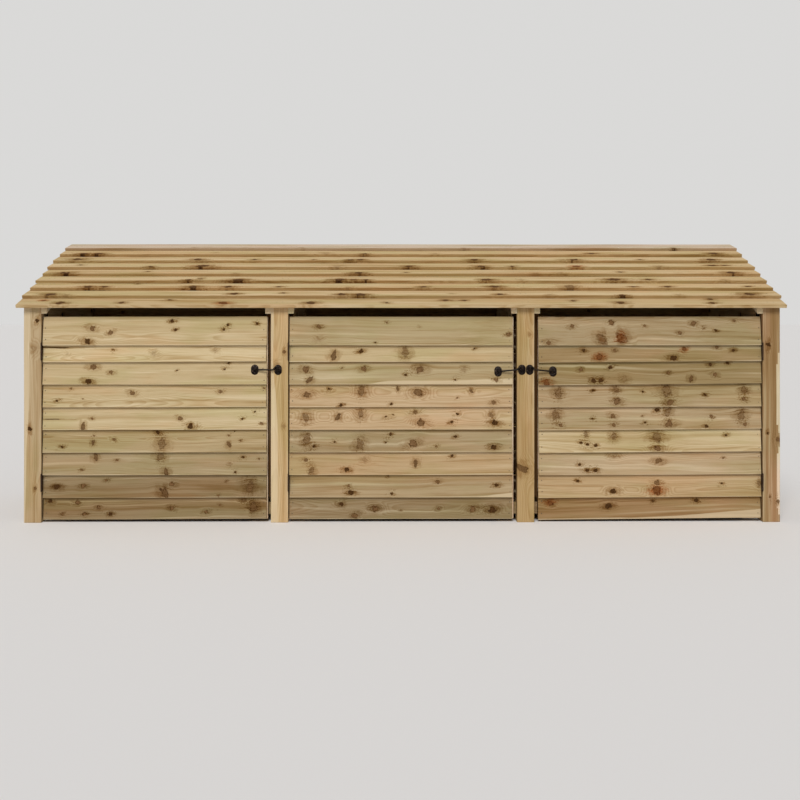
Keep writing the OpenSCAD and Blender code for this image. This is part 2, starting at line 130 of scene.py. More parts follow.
def buildSoftwood():
    group, given, out = newGroup(
        "softwood",
        [("Grain", "Vector"), ("Knot", "Vector"), ("Look", "Vector"), ("Cell", "Vector"),
         ("Cell Top", "Float"), ("Heart", "Vector"), ("Cast", "Vector"), ("Tone", "Color"),
         ("End Wear And Painted Shade", "Float"), ("Ring Width", "Float"), ("Ring Contrast", "Float")])

    def parts(name):
        return addNode(group, "ShaderNodeSeparateXYZ", {0: given[name]}).outputs

    def times(*values):
        product = values[0]
        for value in values[1:]:
            product = calc(group, "MULTIPLY", product, value)
        return product

    def scaled(value, by, plus):
        return calc(group, "MULTIPLY_ADD", value, by, plus)

    def shifted(value, by, amount):  # adds a noise, as far to each side as half the amount
        return scaled(calc(group, "SUBTRACT", by, 0.5), amount, value)

    def step(value, low, high):
        return ramp(group, value, low, high)

    u, v, w = parts("Grain")
    kx, ky, kr = parts("Knot")
    dark, red, faint = parts("Look")
    heartRadius, heartMix, streakMix = parts("Heart")
    sap, stain, blush = parts("Cast")
    cellLeft, cellRight, cellLow = parts("Cell")
    wall = calc(group, "MINIMUM", calc(group, "MINIMUM", cellLeft, cellRight),
                calc(group, "MINIMUM", cellLow, given["Cell Top"]))
    fade = step(wall, 0.0, 12 * mm)

    def patches(detail, along, across, through):  # noise, finer along, across and through as the numbers grow
        at = vector(group, times(u, along), times(*across), times(*through))
        return addNode(group, "ShaderNodeTexNoise", {"Vector": at, "Scale": 1.0, "Detail": detail}).outputs

    def reach(alongShare, acrossShare):  # distance from the knot, in its radii, longer along the grain
        return addNode(group, "ShaderNodeVectorMath", operation="LENGTH", inputs={
            0: vector(group, times(kx, alongShare), times(ky, acrossShare), 0.0)}).outputs["Value"]

    # The pith wanders, which draws the tall arches of a flat-sawn face, and the grain bends round a knot
    wander = patches(2.0, 1.3, (v, 1.5), (w, 1.5))["Color"]
    wx, wy, wz = addNode(group, "ShaderNodeSeparateXYZ", {0: wander}).outputs
    v1 = shifted(v, wx, 0.06)
    w1 = shifted(w, wy, 0.06)
    pull = times(step(reach(0.5, 0.8), 2.9, 0.2), fade)
    v2 = calc(group, "ADD", v1, times(ky, kr, pull, -0.8))
    radius = addNode(group, "ShaderNodeVectorMath", {0: vector(group, v2, w1, 0.0)},
                     operation="LENGTH").outputs["Value"]
    rise = scaled(times(kr, pull), 1.1, radius)
    tremble = patches(2.0, 4.0, (v2, 40.0), (w1, 40.0))["Fac"]
    position = calc(group, "ADD", calc(group, "DIVIDE", rise, given["Ring Width"]), tremble)
    ring = calc(group, "FRACT", position)
    late = times(step(ring, 0.25, 0.88), step(ring, 1.0, 0.93))
    fibre = patches(3.0, 9.0, (v2, 1100.0), (w1, 700.0))["Fac"]
    streak = patches(5.0, 1.1, (v2, 62.0), (w1, 40.0))["Fac"]
    vein = patches(3.0, 2.6, (v2, 210.0), (w1, 150.0))["Fac"]
    mottle = patches(3.0, 2.6, (v, 12.0), (w, 12.0))["Color"]
    greenPart, pinkPart, darkPart = addNode(group, "ShaderNodeSeparateXYZ", {0: mottle}).outputs

    ringMix = times(late, given["Ring Contrast"], scaled(pull, 0.15, 1.0))
    colour = tint(group, given["Tone"], (0.70, 0.58, 0.42), ringMix)
    colour = tint(group, colour, (0.68, 0.58, 0.42), times(step(streak, 0.49, 0.70), streakMix))
    colour = mix(group, colour, (0.86, 0.74, 0.52, 1), times(step(streak, 0.46, 0.28), 0.26))
    colour = tint(group, colour, (0.70, 0.60, 0.44), times(step(vein, 0.54, 0.70), streakMix, 0.75))
    colour = tint(group, colour, (0.84, 0.90, 0.74), times(step(greenPart, 0.45, 0.64), 0.55))
    colour = tint(group, colour, (1.04, 0.92, 0.86), times(step(pinkPart, 0.50, 0.66), 0.5))
    colour = tint(group, colour, (0.80, 0.72, 0.60), times(step(darkPart, 0.52, 0.70), 0.45))
    edge = shifted(radius, tremble, 0.02)
    heart = step(calc(group, "SUBTRACT", edge, heartRadius), 0.004, -0.004)
    colour = tint(group, colour, (0.82, 0.66, 0.48), times(heart, heartMix))
    colour = tint(group, colour, (0.86, 0.83, 0.76), times(step(fibre, 0.45, 0.75), 0.7))
    sapEdge = shifted(sap, streak, 22.0)
    colour = mix(group, colour, (0.74, 0.61, 0.41, 1), times(step(sapEdge, -1.2, 1.5), 0.5))

    # Round a knot the wood is stained, and drawn out along the grain
    chips = patches(2.0, 170.0, (v, 330.0), (w, 330.0))["Fac"]
    patch = shifted(shifted(stain, vein, 1.6), chips, 2.4)
    stained = times(step(patch, 0.25, 0.85), step(stain, 0.0, 0.3))
    colour = tint(group, colour, (0.50, 0.39, 0.24), stained)
    blushEdge = shifted(shifted(blush, vein, 1.2), chips, 1.6)
    blushed = times(step(blushEdge, 0.2, 0.8), step(blush, 0.0, 0.3))
    colour = tint(group, colour, (0.86, 0.46, 0.27), blushed)
    shape = speckle(group, vector(group, times(kx, 0.9), times(ky, 0.9),
                                  scaled(u, 3.0, times(kr, 300.0))), 1.0, 1.0)
    ragged = shifted(shifted(0.0, chips, 1.1), shape, 1.7)
    spread = calc(group, "ADD", reach(0.42, 0.85), ragged)
    halo = times(step(spread, 1.7, 0.8), scaled(dark, 0.5, 0.2), fade)
    colour = tint(group, colour, (0.55, 0.42, 0.26), halo)
    within = calc(group, "ADD", reach(1.0, 1.0), ragged)
    seen = calc(group, "SUBTRACT", 1.0, faint)
    core = times(step(within, 1.06, 0.92), seen)
    swirl = calc(group, "FRACT", scaled(within, 2.6, shape))
    knotRing = step(swirl, 0.25, 0.85)
    pale = mix(group, (0.31, 0.18, 0.080, 1), (0.14, 0.070, 0.026, 1), knotRing)
    pale = tint(group, pale, (1.15, 0.72, 0.5), red)
    deep = mix(group, (0.080, 0.034, 0.008, 1), (0.020, 0.007, 0.002, 1), knotRing)
    colour = mix(group, colour, mix(group, pale, deep, dark), times(core, 0.97))
    rim = times(step(within, 0.68, 0.98), step(within, 1.25, 1.0))
    colour = tint(group, colour, (0.34, 0.22, 0.11), times(rim, seen, step(chips, 0.38, 0.55), 0.9))
    # Darkens the end grain, and paints shade on the butts and along the lap edges
    colour = tint(group, colour, (0.58, 0.50, 0.38), given["End Wear And Painted Shade"])

    feed(group, colour, out["Color"])
    feed(group, scaled(late, -0.08, 0.84), out["Roughness"])
    sawn = patches(1.0, 700.0, (v, 60.0), (w, 60.0))["Fac"]
    height = scaled(fibre, 0.30, times(late, 0.18))
    height = scaled(sawn, 0.12, height)
    feed(group, scaled(core, 0.20, height), out["Height"])
    return group


softwood = buildSoftwood()


def show(made):
    bpy.context.scene.collection.objects.link(made)


def newMaterial(name):
    material = bpy.data.materials.new(name)
    material.use_nodes = True
    tree = material.node_tree
    tree.nodes.clear()
    shader = tree.nodes.new("ShaderNodeBsdfPrincipled")
    tree.links.new(shader.outputs[0], addNode(tree, "ShaderNodeOutputMaterial").inputs[0])
    return material, tree, shader


def timberMaterial(name, ringWidth, ringContrast, relief):
    material, tree, shader = newMaterial(name)
    figure = addNode(tree, "ShaderNodeGroup", node_tree=softwood)
    for socket, called, output in (
            ("Grain", "grain", "Vector"), ("Knot", "knot", "Vector"), ("Look", "look", "Vector"),
            ("Cell", "cell", "Vector"), ("Cell Top", "cell", "Alpha"), ("Heart", "heart", "Vector"),
            ("Cast", "cast", "Vector"), ("Tone", "tone", "Color"), ("End Wear And Painted Shade", "endWearAndPaintedShade", "Fac")):
        tree.links.new(addNode(tree, "ShaderNodeAttribute", attribute_name=called).outputs[output],
                       figure.inputs[socket])
    figure.inputs["Ring Width"].default_value = ringWidth
    figure.inputs["Ring Contrast"].default_value = ringContrast
    tune(tree, shader, figure, relief, mm)
    shader.inputs["Specular IOR Level"].default_value = 0.04
    return material


boardWood = timberMaterial("sawn_board", 3.4 * mm, 0.50, 0.55)
postWood = timberMaterial("planed_post", 4.2 * mm, 0.42, 0.35)
slatWood = timberMaterial("sawn_slat", 3.8 * mm, 0.45, 0.55)
print("materials of the timber done")


# Dressing a plank: a CAD solid with eased edges, cut into cells round its knots

tones = {  # albedo of the dry treated wood, as (red, green, blue) out of 255, and the share of heartwood
    "straw": (199, 179, 141, 0.15), "pale": (212, 193, 155, 0.10), "cream": (203, 184, 147, 0.20),
    "tan": (189, 163, 126, 0.30), "pink": (197, 171, 136, 0.25), "olive": (182, 164, 128, 0.25),
    "sage": (172, 153, 120, 0.20), "dun": (179, 158, 125, 0.35), "brown": (151, 131, 100, 0.45),
    "umber": (167, 148, 113, 0.45), "amber": (162, 132, 96, 0.40), "nut": (155, 135, 97, 0.35),
    "fawn": (186, 164, 132, 0.25), "slat": (194, 168, 128, 0.25), "light": (228, 212, 180, 0.05),
    # paintedGapShade is dark brown painted as the shade in the gaps beside the doors
    "bare": (236, 214, 187, 0.05), "paintedGapShade": (104, 78, 52, 0.30), "paintedWaneHighlight": (220, 202, 180, 0.0),
    # endGrainAndPaintedShade is darker end grain, darkened further to near black as painted shade of the gaps
    "endGrainAndPaintedShade": (46, 29, 17, 0.20), "roof": (218, 194, 153, 0.20), "roofEdge": (208, 184, 143, 0.20),
    "roofTop": (218, 200, 181, 0.05), "postStraw": (201, 172, 129, 0.20), "postOlive": (184, 156, 112, 0.30),
    "postPink": (188, 165, 130, 0.20), "postBrown": (163, 131, 96, 0.40),
}
# A knot's look: how dark, red and faint it is, its height across the grain over its width, how many radii its
# stain reaches along and across the grain, how strong its stain and blush are, and its greatest turn
lookParts = ("dark", "red", "faint", "tall", "along", "across", "stain", "blush", "turn")
knotLooks = {
    "plain": (0.45, 0.1, 0.10, 0.9, 2.6, 0.9, 0.45, 0.05, 0.4),
    "dark": (0.95, 0.1, 0.0, 0.85, 2.8, 0.9, 0.65, 0.05, 0.4),
    "butt": (0.72, 0.25, 0.0, 1.15, 3.4, 1.1, 0.8, 0.15, 0.4),
    "red": (0.55, 0.9, 0.10, 1.1, 2.4, 1.0, 0.35, 0.9, 0.4),
    "faint": (0.2, 0.0, 0.75, 1.2, 2.4, 1.4, 0.30, 0.0, 0.4),
    "spike": (0.65, 0.1, 0.15, 2.0, 1.6, 1.8, 0.45, 0.0, 0.9),
    "whorl": (0.55, 0.1, 0.45, 1.5, 1.5, 3.4, 0.55, 0.1, 0.4),
    "flame": (0.6, 1.0, 0.45, 1.9, 1.1, 1.5, 0.7, 1.0, 0.9),
    "scar": (0.5, 0.3, 0.45, 1.9, 1.1, 1.5, 0.9, 0.35, 0.9),
    "split": (1.0, 0.0, 0.1, 0.05, 0.6, 0.1, 0.25, 0.0, 0.0),
}
knotLooks = {kind: dict(zip(lookParts, shares)) for kind, shares in knotLooks.items()}
farAway = 9.0  # in metres, past the ends of every plank
# Where in its log a plank comes from: how far aside the pith lies in the plank's own widths, how far in front
# or behind in mm, the start along the log in metres, the heartwood's radius in mm, and how strong streaks are
logCut = {
    "aside": (-0.3, 1.3), "behind": (15, 60), "along": (5, 900), "heart": (25, 60), "streaks": (0.45, 0.9),
}


def linear(channel):
    share = channel / 255
    return share / 12.92 if share < 0.04045 else ((share + 0.055) / 1.055) ** 2.4


def toneColour(tone):
    return (*(linear(c) for c in tones[tone][:3]), 1.0)


def solidsOf(node):  # one bmesh for each closed solid of a CAD node, with its flat faces whole
    whole = bmesh.new()
    whole.from_mesh(frame["nodes"][node].data)
    bmesh.ops.remove_doubles(whole, verts=whole.verts, dist=0.01 * mm)
    bmesh.ops.dissolve_limit(whole, angle_limit=math.radians(1), verts=whole.verts, edges=whole.edges)
    whole.faces.ensure_lookup_table()
    whole.faces.index_update()
    todo = set(range(len(whole.faces)))
    solids = []
    while todo:
        stack = [min(todo)]
        found = set(stack)
        while stack:
            for edge in whole.faces[stack.pop()].edges:
                for face in edge.link_faces:
                    if face.index not in found:
                        found.add(face.index)
                        stack.append(face.index)
        todo -= found
        solid = whole.copy()
        solid.faces.ensure_lookup_table()
        bmesh.ops.delete(solid, geom=[f for f in solid.faces if f.index not in found], context="FACES")
        solids.append(solid)
    whole.free()
    return solids


class Plank:
    # Along, across and through are a plank's own directions, and u, v and w are places on them from its
    # low corner at its left-hand or lower end.
    def __init__(self, solid):
        sides = [edge.verts[1].co - edge.verts[0].co for edge in solid.edges]
        self.along = self.pointed(max(sides, key=lambda side: side.length))
        flat = [side - side.dot(self.along) * self.along for side in sides]
        self.across = self.pointed(max(flat, key=lambda side: (round(side.length, 4), abs(side.x))))
        self.through = self.along.cross(self.across)
        self.low = [min(vert.co.dot(axis) for vert in solid.verts) for axis in self.axes()]
        self.size = [max(vert.co.dot(axis) for vert in solid.verts) - low
                     for axis, low in zip(self.axes(), self.low)]
        facing = [face for face in solid.faces if face.normal.dot(self.through) > 0.9]
        front = max(facing, key=lambda face: face.calc_area())
        self.frontPoint = front.calc_center_median()
        self.frontNormal = front.normal.copy()

    def axes(self):
        return self.along, self.across, self.through

    @staticmethod
    def pointed(side):
        side = side.normalized()
        return side if max(side, key=abs) > 0 else -side

    def place(self, point):
        return [point.dot(axis) - low for axis, low in zip(self.axes(), self.low)]

    def onFront(self, u, v):  # the point of the front face at u and v
        base = (self.low[0] + u) * self.along + (self.low[1] + v) * self.across
        step = (self.frontPoint - base).dot(self.frontNormal) / self.through.dot(self.frontNormal)
        return base + step * self.through


def sliceAt(solid, plank, axis, at, start=-farAway, stop=farAway):  # only where u is from start to stop
    faces = [face for face in solid.faces if start < plank.place(face.calc_center_median())[0] < stop]
    geom = set(faces)
    for face in faces:
        geom.update(face.verts)
        geom.update(face.edges)
    direction = plank.axes()[axis]
    bmesh.ops.bisect_plane(solid, geom=list(geom), plane_co=(plank.low[axis] + at) * direction,
                           plane_no=direction, dist=0.01 * mm)


def between(a, b, axis):  # splits the way from knot a to knot b in the ratio of their radii
    return a[axis] + (b[axis] - a[axis]) * a[2] / (a[2] + b[2])


def cutCells(solid, plank, knots):
    # Each knot gets a cell (left, right, low, high, knot). Knots near each other share a column.
    columns = []
    for knot in sorted(knots):
        if columns and knot[0] - columns[-1][-1][0] < 1.25 * (knot[2] + columns[-1][-1][2]):
            columns[-1].append(knot)
        else:
            columns.append([knot])
    ends = [between(a[-1], b[0], 0) for a, b in zip(columns, columns[1:])]
    for end in ends:
        sliceAt(solid, plank, 0, end)
    cells = []
    for column, left, right in zip(columns, [-farAway] + ends, ends + [farAway]):
        column.sort(key=lambda knot: knot[1])
        bands = [between(a, b, 1) for a, b in zip(column, column[1:])]
        for band in bands:
            sliceAt(solid, plank, 1, band, left, right)
        cells += [(left, right, low, high, knot) for knot, low, high in
                  zip(column, [-farAway] + bands, bands + [farAway])]
    return cells


def readKnots(listed, rng):  # in metres, each with its look and the cosine and sine of its turn
    knots = []
    for x, y, radius, *kind in listed:
        kind = kind[0] if kind else "plain"
        turn = rng.uniform(-1, 1) * knotLooks[kind]["turn"]
        knots.append((x * mm, y * mm, radius * mm, kind, math.cos(turn), math.sin(turn)))
    return knots


def stainAt(u, v, knots):
    stain = blush = 0.0
    for x, y, radius, kind, *turn in knots:
        look = knotLooks[kind]
        du = (u - x) / (look["along"] * radius + 8 * mm)
        dv = (v - y) / (look["across"] * radius + 8 * mm)
        share = math.exp(-du * du - dv * dv)
        stain += look["stain"] * share
        blush += look["blush"] * share
    return stain, blush


def sapAt(u, v, width, sap):  # how far inside the pale sapwood a place is, in mm, less than 0 outside
    if not sap:
        return -99.0
    side, points = sap
    depth = points[-1][1]
    for (x0, y0), (x1, y1) in zip(points, points[1:]):
        if u / mm < x1:
            depth = y0 + (y1 - y0) * max(0.0, u / mm - x0) / (x1 - x0)
            break
    return depth - (v if side < 0 else width - v) / mm


def cutPlank(solid, plank, look):
    # Eases the edges, and slices where the colour or the bow of the plank changes
    bmesh.ops.bevel(solid, geom=list(solid.edges), offset=look["ease"] * mm, offset_type="OFFSET",
                    segments=2, profile=0.5, affect="EDGES", material=-1, clamp_overlap=True)
    station = look["station"] * mm
    for i in range(1, math.ceil(plank.size[0] / station)):
        sliceAt(solid, plank, 0, i * station)
    for i in range(1, look["rows"]):
        sliceAt(solid, plank, 1, i * plank.size[1] / look["rows"])
    if look["lip"]:
        sliceAt(solid, plank, 1, look["lip"] * mm)
    for start, stop, edge, tone in look["strips"]:
        sliceAt(solid, plank, 0, start * mm)
        sliceAt(solid, plank, 0, stop * mm)
        sliceAt(solid, plank, 1, edge * mm, start * mm, stop * mm)


def shadeOf(face, plank, look, u, v):  # the tone, and the end wear and painted shade, of a face whose middle is at u and v
    alongShare = abs(face.normal.dot(plank.along))
    strip = next((s for s in look["strips"] if s[0] * mm < u < s[1] * mm and v > s[2] * mm), None)
    tone = strip[3] if strip else look["tone"]
    if abs(face.normal.dot(plank.across)) > 0.8:
        tone = look.get("sideTone", look["tone"])
    elif alongShare > 0.8:
        tone = look.get("endTone", look["tone"])
    # Painted shade: faces that look down across the plank, its butt, are darkened as if shaded under the lap
    wearAndPaintedShade = alongShare * look["endWear"] + max(0.0, -face.normal.dot(plank.across)) * look["buttPaintedShade"]
    # Painted shade: the band along the lower edge is darkened as the shaded line of the lap
    if v < look["lip"] * mm:
        wearAndPaintedShade = max(wearAndPaintedShade, look["lipPaintedShade"])
    return toneColour(tone), wearAndPaintedShade


def drawFigure(solid, plank, look, knots, rng):
    # Cuts the cells, and writes what the timber materials read
    cells = cutCells(solid, plank, knots)
    layers = {name: solid.loops.layers.float_vector.new(name)
              for name in ("grain", "knot", "look", "heart", "cast")}
    layers.update({name: solid.loops.layers.float_color.new(name) for name in ("tone", "cell")})
    # End wear, with painted shade on the butts and lap edges
    endWearAndPaintedShade = solid.loops.layers.float.new("endWearAndPaintedShade")
    pith = (rng.uniform(*logCut["aside"]) * plank.size[1],
            rng.choice((-1, 1)) * rng.uniform(*logCut["behind"]) * mm)
    start = rng.uniform(*logCut["along"])
    heart = (rng.uniform(*logCut["heart"]) * mm, tones[look["tone"]][3],
             look.get("streaks", rng.uniform(*logCut["streaks"])))
    cast = {}
    for vert in solid.verts:
        u, v, w = plank.place(vert.co)
        cast[vert] = (sapAt(u, v, plank.size[1], look.get("sap")), *stainAt(u, v, knots))
    for face in solid.faces:
        u, v, w = plank.place(face.calc_center_median())
        cell = next((c for c in cells if c[0] <= u < c[1] and c[2] <= v < c[3]), None)
        shade, wearAndPaintedShade = shadeOf(face, plank, look, u, v)
        for loop in face.loops:
            u, v, w = plank.place(loop.vert.co)
            loop[layers["grain"]] = (u + start, v - pith[0], w - pith[1])
            loop[layers["heart"]] = heart
            loop[layers["tone"]] = shade
            loop[layers["cast"]] = cast[loop.vert]
            loop[endWearAndPaintedShade] = wearAndPaintedShade
            if cell:
                left, right, low, high, (x, y, radius, kind, cosine, sine) = cell
                shown = knotLooks[kind]
                du, dv = (u - x) / radius, (v - y) / radius
                turned = (cosine * du + sine * dv, (cosine * dv - sine * du) / shown["tall"], radius)
                loop[layers["knot"]] = turned
                loop[layers["look"]] = (shown["dark"], shown["red"], shown["faint"])
                loop[layers["cell"]] = (u - left, right - u, v - low, high - v)
            else:
                loop[layers["knot"]] = (50, 50, 10 * mm)
                loop[layers["cell"]] = (farAway, farAway, farAway, farAway)
    return start, pith


def bendPlank(solid, plank, look, seed, rng):  # a slight bow, uneven cut ends, and trimmed edges
    start, pith = seed
    wave = look["wave"] * mm
    trims = [rng.uniform(*look[side]) * mm for side in ("leftTrim", "rightTrim")]
    for vert in solid.verts:
        u, v, w = plank.place(vert.co)
        bow = noise.noise(Vector((u * 2.3 + start, pith[0] * 90, 1.7)))
        lift = noise.noise(Vector((u * 3.1 + start, pith[0] * 90, 9.4)))
        vert.co += plank.across * bow * wave * 1.5 + plank.through * lift * wave * look["lift"]
        if u < 5 * mm:
            vert.co += plank.along * trims[0]
        elif u > plank.size[0] - 5 * mm:
            vert.co += plank.along * trims[1]
        if v < 3 * mm:
            vert.co += plank.across * look["lowTrim"] * mm
        elif v > plank.size[1] - 3 * mm:
            vert.co -= plank.across * look["highTrim"] * mm


# What a plank has unless its own look says otherwise. Lengths are in mm. Station and rows say how finely its
# stains are drawn, lip is the band along its lower edge that is darkened as painted shade of the lap, and
# trims take wood off its ends and edges. The butt, its downward face, is darkened as painted shade too.
plainLook = {
    "ease": 1.2, "station": 150, "rows": 1, "wave": 0.4, "lift": 1.0, "strips": (), "knots": (),
    "endWear": 0.3, "buttPaintedShade": 0.1, "lip": 0, "lipPaintedShade": 0.6,
    "leftTrim": (0, 0), "rightTrim": (0, 0), "lowTrim": 0, "highTrim": 0,
}


def dressSolid(solid, look, rng):
    look = {**plainLook, **look}
    plank = Plank(solid)
    knots = readKnots(look["knots"], rng)
    cutPlank(solid, plank, look)
    seed = drawFigure(solid, plank, look, knots, rng)
    bendPlank(solid, plank, look, seed, rng)
    return plank


def pieceFrom(parts, name, body, material, slot, *replaced):
    # Joins bmeshes into one object, and says what it rides on and stands for
    mesh = bpy.data.meshes.new(name)
    whole = bmesh.new()
    for part in parts:
        part.to_mesh(mesh)
        whole.from_mesh(mesh)
        part.free()
    whole.to_mesh(mesh)
    whole.free()
    mesh.materials.append(material)
    piece = bpy.data.objects.new(name, mesh)
    show(piece)
    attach(piece, body)
    if replaced:
        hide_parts(*replaced)
    return piece


def dressNode(node, body, material, slot, looks):
    solids = solidsOf(node)
    rng = random.Random(node)
    solids.sort(key=lambda solid: [round(min(v.co[i] for v in solid.verts), 3) for i in (2, 0, 1)])
    planks = [dressSolid(solid, looks[i % len(looks)], rng) for i, solid in enumerate(solids)]
    pieceFrom(solids, node + "_dressed", body, material, slot, node)
    return planks


# Door boards, from the lowest up: tone, knots, and the sapwood where it differs. A knot is its place in mm
# from the board's left-hand end and up from its lower edge, its radius in mm, and its look. Sapwood is the
# edge that it lies along, less than 0 for the lower one, and its depth at places along the board, in mm.

doorBoards = {
    "left": [
        ("brown", [(32, 80, 9, "dark"), (150, 76, 10), (242, 52, 8), (181, 23, 8), (85, 25, 6),
         (295, 23, 8, "dark"), (562, 46, 9), (711, 30, 9), (772, 61, 5), (920, 53, 14, "whorl"),
         (875, 88, 9, "whorl")]),
        ("brown", [(62, 47, 11, "dark"), (177, 51, 9), (276, 76, 6), (531, 21, 13, "spike"), (562, 59, 10),
         (800, 70, 5), (905, 47, 17, "whorl"), (768, 9, 5)]),
        ("sage", [(230, 78, 8, "spike"), (322, 65, 6), (173, 24, 5), (512, 85, 13, "whorl"),
         (539, 12, 9, "spike"), (873, 78, 5, "dark"), (840, 13, 5, "dark"), (943, 70, 4),
         (817, 47, 6, "faint")]),
        ("olive", [(85, 25, 6, "dark"), (223, 74, 4), (219, 43, 6, "spike"), (310, 57, 6),
         (501, 88, 8, "dark"), (520, 38, 14, "whorl"), (810, 74, 4), (813, 34, 7, "spike"), (863, 51, 4),
         (836, 91, 3, "dark")]),
        ("cream", [(600, 50, 9), (646, 14, 12, "dark"), (177, 17, 8, "spike"), (215, 49, 5),
         (38, 47, 40, "split"), (871, 47, 5, "dark"), (925, 78, 4, "dark"), (954, 28, 6)]),
        ("straw", [(390, 63, 11), (775, 67, 8), (123, 82, 4), (62, 29, 5, "dark"), (175, 37, 3),
         (966, 82, 5)]),
        ("straw", [(220, 75, 12), (297, 53, 9), (200, 12, 12, "dark"), (585, 62, 4, "dark"),
         (810, 93, 5, "dark"), (793, 66, 5, "dark")]),
        ("pale", [(55, 64, 60, "split"), (108, 40, 5, "faint"), (306, 55, 3, "dark"), (486, 40, 9, "faint"),
         (752, 50, 8, "faint")]),
        ("straw", [(215, 75, 12), (295, 57, 9), (196, 17, 13, "dark"), (562, 107, 8, "dark"),
         (579, 69, 6, "dark"), (806, 89, 6, "dark"), (789, 69, 6, "dark"), (934, 95, 6, "dark")]),
    ],
    "middle": [
        ("brown", [(227, 65, 9, "dark"), (376, 44, 13), (287, 16, 11), (487, 37, 4), (653, 44, 6),
         (802, 40, 12), (887, 40, 14, "dark")]),
        ("dun", [(433, 92, 5), (259, 50, 6), (270, 21, 11, "dark"), (447, 17, 6, "dark"), (649, 67, 8),
         (907, 53, 8, "dark")], (-1, [(0, 2), (830, 2), (999, 20)])),
        ("tan", [(73, 65, 8), (96, 19, 10, "whorl"), (252, 23, 10, "dark"), (330, 65, 9, "faint"),
         (553, 51, 8, "spike"), (713, 83, 6, "dark")]),
        ("sage", [(75, 55, 15, "whorl"), (109, 26, 6, "dark"), (443, 79, 6, "dark"), (199, 45, 4, "dark"),
         (309, 33, 14, "whorl"), (422, 43, 4, "dark"), (543, 37, 17), (727, 67, 7, "dark"),
         (893, 23, 11, "dark"), (642, 26, 4)]),
        ("pink", [(75, 54, 12, "whorl"), (213, 57, 8, "spike"), (312, 68, 11, "whorl"),
         (422, 57, 4, "dark"), (454, 65, 3, "dark"), (550, 75, 9), (575, 29, 15), (736, 68, 6, "dark"),
         (710, 33, 7, "dark"), (883, 61, 8, "whorl"), (898, 29, 12, "dark")]),
        ("pink", [(78, 55, 13), (174, 80, 5, "dark"), (316, 70, 13, "whorl"), (227, 8, 7, "dark"),
         (474, 80, 5, "spike"), (446, 13, 6, "dark"), (564, 62, 17), (795, 70, 5, "spike"), (894, 20, 9),
         (734, 40, 4)]),
        ("olive", [(71, 65, 13), (89, 22, 8, "spike"), (326, 68, 11), (571, 65, 16), (509, 42, 6, "dark"),
         (231, 72, 4), (726, 20, 4, "dark"), (763, 65, 9, "faint"),
         (905, 20, 9)], (-1, [(0, 2), (350, 3), (430, 15), (999, 24)])),
        ("straw", [(195, 28, 10, "spike"), (314, 47, 9, "dark"), (507, 42, 14, "whorl"),
         (809, 57, 4, "dark")]),
        ("olive", [(128, 82, 9), (128, 26, 9, "faint"), (426, 102, 4), (568, 83, 4, "faint"), (958, 48, 9),
         (376, 13, 4, "dark")]),
    ],
    "right": [
        ("amber", [(52, 71, 10, "red"), (307, 58, 12, "dark"), (503, 77, 5, "dark"),
         (692, 78, 7, "dark")], (-1, [(0, 2), (420, 4), (700, 16), (999, 42)])),
        ("tan", [(172, 73, 6, "dark"), (326, 28, 12, "dark"), (520, 63, 11), (517, 29, 16, "red"),
         (803, 59, 5, "dark"), (969, 56, 7, "whorl")]),
        ("fawn", [(332, 88, 13, "faint"), (524, 60, 13), (179, 45, 6, "dark"), (212, 20, 7, "dark"),
         (249, 19, 8, "dark"), (810, 72, 5)]),
        ("cream", [(207, 81, 8, "whorl"), (186, 43, 6, "dark"), (214, 35, 6, "dark"), (250, 31, 7, "dark"),
         (329, 71, 10, "whorl"), (517, 64, 17, "whorl"), (520, 15, 13), (821, 71, 6, "dark")]),
        ("dun", [(75, 67, 13, "whorl"), (96, 22, 8), (326, 60, 10), (329, 22, 8), (235, 49, 4, "dark"),
         (465, 31, 5, "dark"), (454, 60, 4), (520, 85, 9, "dark"), (566, 78, 12, "whorl"), (569, 26, 15),
         (735, 12, 7, "dark"), (757, 55, 7), (889, 60, 13, "whorl"), (903, 20, 8)]),
        ("dun", [(86, 65, 14, "whorl"), (237, 73, 5, "dark"), (339, 78, 10, "whorl"), (343, 25, 13),
         (456, 66, 5, "dark"), (562, 68, 18, "whorl"), (576, 20, 13), (730, 52, 6, "dark"),
         (903, 72, 11, "whorl"), (899, 33, 9)]),
        ("nut", [(186, 67, 8), (315, 76, 8, "dark"), (239, 19, 10, "dark"), (271, 19, 9, "dark"),
         (374, 25, 11, "faint"), (568, 51, 6), (666, 23, 7, "spike"), (753, 84, 7, "dark"),
         (830, 90, 7, "dark"), (773, 40, 10), (33, 12, 12, "red")]),
        ("umber", [(197, 52, 7, "dark"), (332, 51, 7), (266, 23, 13, "red"), (590, 16, 12, "dark"),
         (638, 56, 8, "red"), (781, 61, 8), (853, 47, 7, "dark")]),
        ("sage", [(148, 86, 9), (319, 100, 11), (277, 26, 15, "scar"), (360, 34, 16, "flame"), (465, 86, 6),
         (618, 54, 8), (680, 96, 11), (726, 75, 4), (776, 65, 6, "dark"), (858, 108, 6), (44, 12, 11)]),
    ],
}
doorLines = {  # how much lower each board's left-hand end sits than its right-hand end, in mm
    "left": [3, 2, 1, 2, 1, 2, 1, 3, 2], "middle": [1, 0, 1, 0, 1, 1, 0, 1, 0],
    "right": [9, 6, 4, 7, 7, 5, 9, 8, 1],
}
